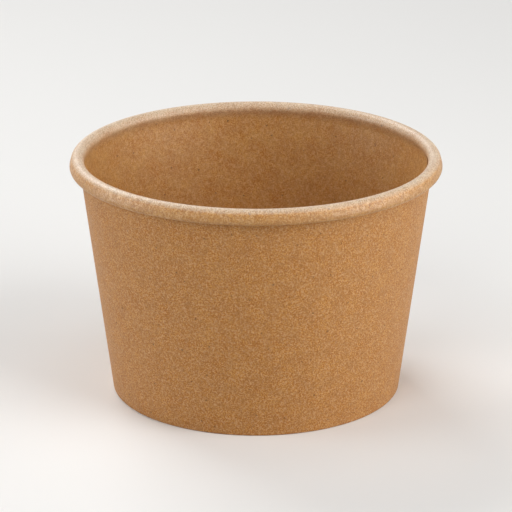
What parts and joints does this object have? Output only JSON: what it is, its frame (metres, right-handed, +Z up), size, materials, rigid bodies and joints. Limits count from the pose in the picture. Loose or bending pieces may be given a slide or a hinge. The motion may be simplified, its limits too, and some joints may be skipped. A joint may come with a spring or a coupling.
{
  "type": "paper soup container",
  "caption": "Round tapered kraft paper soup container, open at the top, with a rolled rim, a glued side seam, a folded hem to stand on and a recessed bottom.",
  "frame": {"origin": "centre of the ring that the container stands on, at the table", "axes": "+Z up along the container's axis, out of its mouth; the picture looks along +Y; the side seam is to the right, on +X"},
  "size_m": [0.09, 0.09, 0.0593],
  "materials": {
    "kraft_wall": "matt kraft board, coated inside",
    "kraft_bottom": "matt kraft board, coated inside"
  },
  "bodies": {
    "root": {"sidewall": "kraft_wall", "bottom": "kraft_bottom"}
  },
  "joints": []
}
